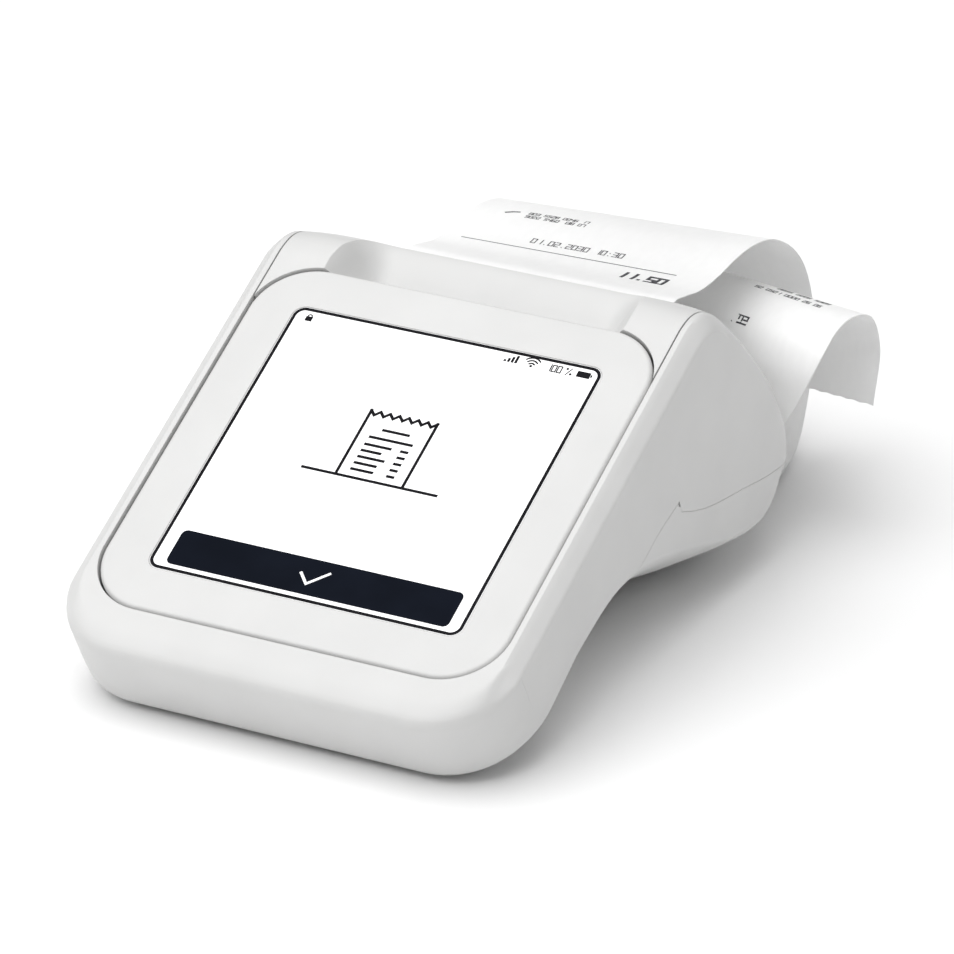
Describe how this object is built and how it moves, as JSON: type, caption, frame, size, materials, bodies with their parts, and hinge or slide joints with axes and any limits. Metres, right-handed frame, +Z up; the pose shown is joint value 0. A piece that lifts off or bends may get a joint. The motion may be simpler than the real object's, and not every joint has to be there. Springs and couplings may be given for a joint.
{
  "type": "card payment terminal",
  "caption": "Square touchscreen card terminal docked face-up in a sloping white cradle with a receipt printer, paper door and curling printed receipt.",
  "frame": {"origin": "on the table, in the middle of the front foot's lower face", "axes": "+X to the user's right, +Y to the back where the receipt comes out, +Z up"},
  "size_m": [0.0966, 0.174, 0.0621],
  "materials": {
    "white_shell": "fine matt moulded texture, white",
    "grey_plastic": "moulded grey nylon",
    "black_plastic": "black glass-filled plastic",
    "display_glass": "smooth clear-coated lens over a lit white display",
    "board_green": "solder-masked circuit board",
    "steel": "plain steel",
    "contact_gold": "gold-plated contact",
    "black_rubber": "ground rubber sleeve",
    "grey_rubber": "soft non-slip rubber",
    "receipt_paper": "coated thermal paper",
    "roll_cardboard": "wound card core",
    "cell_wrap": "dark shrink wrap"
  },
  "bodies": {
    "cradle": {"outer_shell": "white_shell", "top_insert": "white_shell", "dock_tray": "white_shell", "bottom_cover": "white_shell", "charging_socket": "steel", "cover_screw_1": "steel", "cover_screw_2": "steel", "cover_screw_3": "steel", "cover_screw_4": "steel", "front_foot": "grey_rubber", "rear_foot_left": "grey_rubber", "rear_foot_right": "grey_rubber", "dock_contacts": "black_plastic", "cradle_board": "board_green", "cradle_battery": "cell_wrap", "hinge_pin": "steel", "idler_axle": "steel", "feed_motor": "steel", "print_frame": "grey_plastic", "print_head": "black_plastic", "head_heatsink": "steel", "head_spring_left": "steel", "head_spring_right": "steel", "tear_bar": "steel", "paper_sensor": "black_plastic", "roll_arm_left": "grey_plastic", "roll_arm_right": "grey_plastic"},
    "terminal": {"terminal_front_frame": "white_shell", "display_lens": "display_glass", "display_panel": "black_plastic", "contactless_antenna": "contact_gold", "card_reader": "black_plastic", "card_contacts": "contact_gold", "terminal_mid_frame": "steel", "terminal_board": "board_green", "terminal_battery": "cell_wrap", "speaker": "black_plastic", "terminal_rear_case": "white_shell", "charging_pads": "contact_gold", "terminal_screw_1": "steel", "terminal_screw_2": "steel", "terminal_screw_3": "steel", "terminal_screw_4": "steel"},
    "button": {"power_button": "grey_plastic"},
    "door": {"paper_door": "white_shell", "platen_bush_left": "grey_plastic", "platen_bush_right": "grey_plastic"},
    "platen": {"platen_roller": "black_rubber", "platen_shaft": "steel", "platen_gear": "grey_plastic"},
    "idler": {"idler_gear": "grey_plastic"},
    "pinion": {"motor_pinion": "steel"},
    "roll": {"paper_roll": "receipt_paper", "roll_core": "roll_cardboard"},
    "receipt": {"receipt_strip": "receipt_paper"}
  },
  "joints": [
    {"name": "terminal_undock", "type": "slide", "parent": "cradle", "child": "terminal", "axis": [0, -0.4648, 0.8854], "range_m": [0, 0.025]},
    {"name": "power_button_press", "type": "slide", "parent": "terminal", "child": "button", "axis": [-1, 0, 0], "range_m": [0, 0.0006], "stiffness_N_per_m": 200},
    {"name": "paper_door_open", "type": "hinge", "parent": "cradle", "child": "door", "pos_m": [0, 0.1146, 0.0193], "axis": [-1, 0, 0], "range_deg": [0, 70]},
    {"name": "receipt_drape", "type": "hinge", "parent": "door", "child": "receipt", "pos_m": [0, 0.09095, 0.0509], "axis": [1, 0, 0], "range_deg": [0, 70]},
    {"name": "platen_spin", "type": "hinge", "parent": "door", "child": "platen", "pos_m": [0, 0.0898, 0.0441], "axis": [-1, 0, 0], "continuous": true},
    {"name": "idler_spin", "type": "hinge", "parent": "cradle", "child": "idler", "pos_m": [0, 0.0811, 0.03804], "axis": [-1, 0, 0], "continuous": true},
    {"name": "pinion_spin", "type": "hinge", "parent": "cradle", "child": "pinion", "pos_m": [0, 0.07516, 0.03012], "axis": [-1, 0, 0], "continuous": true},
    {"name": "roll_spin", "type": "hinge", "parent": "cradle", "child": "roll", "pos_m": [0, 0.091, 0.0225], "axis": [-1, 0, 0], "continuous": true}
  ],
  "couplings": [
    {"joint": "receipt_drape", "follows": "paper_door_open", "ratio": 1},
    {"joint": "idler_spin", "follows": "platen_spin", "ratio": -0.66667},
    {"joint": "pinion_spin", "follows": "platen_spin", "ratio": 1.2},
    {"joint": "roll_spin", "follows": "platen_spin", "ratio": 0.25}
  ]
}
